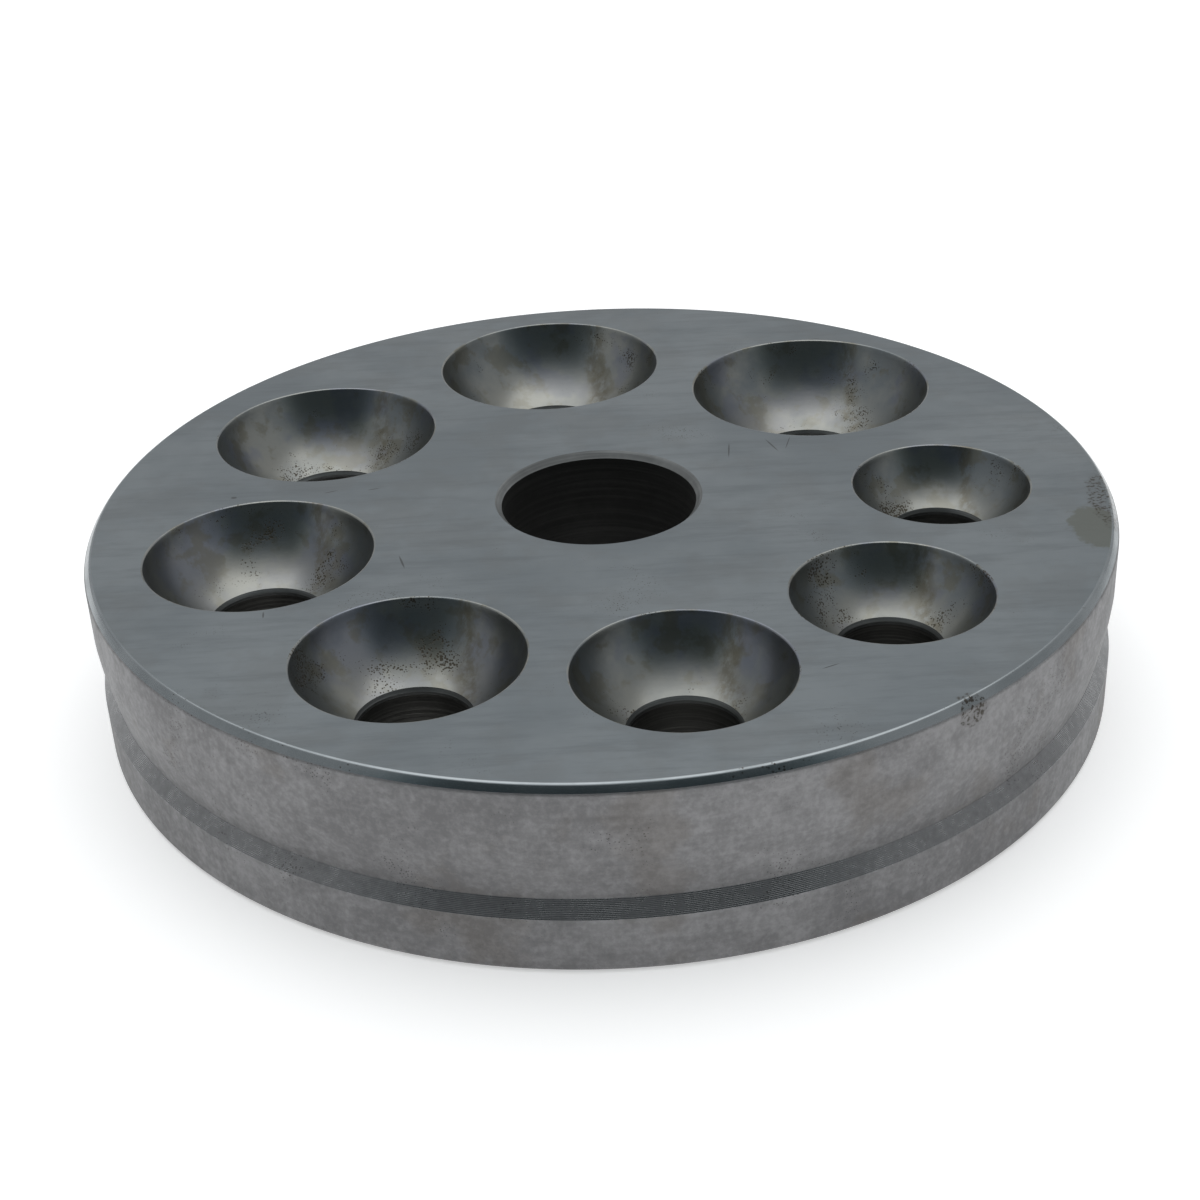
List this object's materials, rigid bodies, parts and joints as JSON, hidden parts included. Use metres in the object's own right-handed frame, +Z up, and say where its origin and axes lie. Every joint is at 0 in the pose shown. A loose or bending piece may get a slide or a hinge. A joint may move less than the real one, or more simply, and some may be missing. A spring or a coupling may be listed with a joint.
{
  "type": "ring reducing plate",
  "caption": "Flat steel disc with a ring of graded spherical dishes, each with a drop hole, a centre bore and a shallow rim groove.",
  "frame": {"origin": "axis of the centre bore at the underside of the disc", "axes": "+Z up along the bore axis, out of the dished face; the smallest dish lies close to +X, and the dishes grow clockwise seen from above"},
  "size_m": [0.13, 0.13, 0.024],
  "materials": {
    "steel": "ground top face, polished dishes, satin turned wall"
  },
  "bodies": {
    "root": {"reducing_plate": "steel"}
  },
  "joints": []
}
